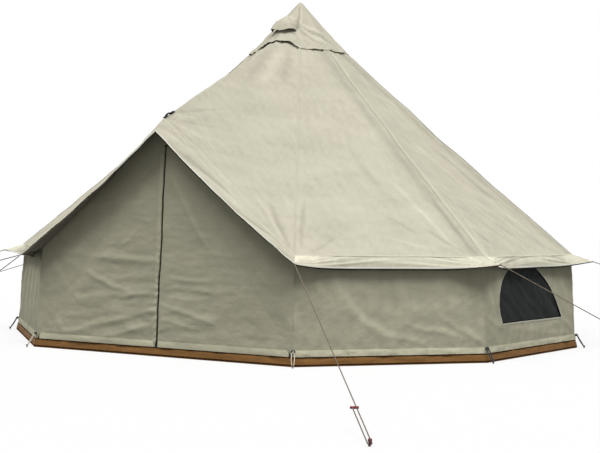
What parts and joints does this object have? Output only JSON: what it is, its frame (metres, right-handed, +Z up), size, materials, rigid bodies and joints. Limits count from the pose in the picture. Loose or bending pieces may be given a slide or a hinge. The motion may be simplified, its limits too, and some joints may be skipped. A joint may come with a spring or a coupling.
{
  "type": "bell tent",
  "caption": "Canvas bell tent: tub floor, low wall, cone roof on a centre pole, A-frame door with two leaves, vented crown, guy ropes.",
  "frame": {"origin": "under the foot of the centre pole, on the underside of the groundsheet, at ground level", "axes": "+Z up along the centre pole; -Y from the pole out through the middle of the door; +X to the right as someone outside looks at the door"},
  "size_m": [7.0704, 7.0012, 2.9799],
  "materials": {
    "roof_canvas": "matt woven cotton canvas, light sand",
    "wall_canvas": "matt woven cotton canvas, olive grey",
    "floor_cloth": "coated woven groundsheet, brown, slight sheen",
    "insect_mesh": "fine black netting",
    "steel": "zinc plated tube",
    "black_plastic": "moulded, black",
    "rubber_foot": "moulded rubber, black",
    "zip_metal": "black enamel",
    "webbing": "woven black webbing",
    "guy_rope": "twisted cotton rope, sand coloured",
    "guy_peg": "moulded, dark red",
    "guy_runner": "moulded, dark red",
    "base_peg": "cream rubber band, fused with its black toggle and peg"
  },
  "bodies": {
    "tent": {"groundsheet_tub": "floor_cloth", "wall_front_right": "wall_canvas", "wall_window": "wall_canvas", "wall_back_right": "wall_canvas", "wall_back": "wall_canvas", "wall_left": "wall_canvas", "window_mesh": "insect_mesh", "door_gusset_right": "wall_canvas", "door_gusset_left": "wall_canvas", "roof_right": "roof_canvas", "roof_back": "roof_canvas", "roof_left": "roof_canvas", "roof_porch": "roof_canvas", "crown_cap": "roof_canvas", "vent_mesh": "insect_mesh", "vent_hood": "roof_canvas", "pole_foot": "rubber_foot", "pole_lower": "steel", "pole_upper": "steel", "pole_finial": "black_plastic", "a_frame_elbow": "steel", "a_frame_leg_right": "steel", "a_frame_leg_left": "steel", "peak_loop": "webbing", "guy_rope_front_right": "guy_rope", "guy_rope_right": "guy_rope", "guy_rope_far_right": "guy_rope", "guy_rope_back_left": "guy_rope", "guy_rope_left": "guy_rope", "guy_rope_front_left": "guy_rope", "guy_rope_front_left_low": "guy_rope", "guy_knot_right": "guy_rope", "guy_knot_far_right": "guy_rope", "guy_knot_back_left": "guy_rope", "guy_knot_left": "guy_rope", "guy_knot_front_left": "guy_rope", "guy_knot_front_left_low": "guy_rope", "guy_peg_front_right": "guy_peg", "base_peg_01": "base_peg", "base_peg_02": "base_peg", "base_peg_03": "base_peg", "base_peg_04": "base_peg", "base_peg_05": "base_peg", "base_peg_06": "base_peg", "base_peg_07": "base_peg", "base_peg_08": "base_peg", "base_peg_09": "base_peg", "base_peg_10": "base_peg"},
    "leaf_right": {"door_leaf_right": "wall_canvas"},
    "leaf_left": {"door_leaf_left": "wall_canvas"},
    "zip": {"zip_slider": "zip_metal"},
    "runner": {"guy_runner_front_right": "guy_runner"}
  },
  "joints": [
    {"name": "leaf_right_fold", "type": "hinge", "parent": "tent", "child": "leaf_right", "pos_m": [1.08714, -2.21408, 0.10614], "axis": [-0.6009, 0.0456, 0.798], "range_deg": [0, 105]},
    {"name": "leaf_left_fold", "type": "hinge", "parent": "tent", "child": "leaf_left", "pos_m": [-1.08714, -2.21408, 0.10614], "axis": [-0.6009, -0.0456, -0.798], "range_deg": [0, 105]},
    {"name": "zip_slide", "type": "slide", "parent": "leaf_left", "child": "zip", "axis": [0, 0.057, 0.9984], "range_m": [0, 1.4]},
    {"name": "runner_slide", "type": "slide", "parent": "tent", "child": "runner", "axis": [-0.5535, 0.792, 0.2576], "range_m": [-0.25, 0.8]}
  ]
}
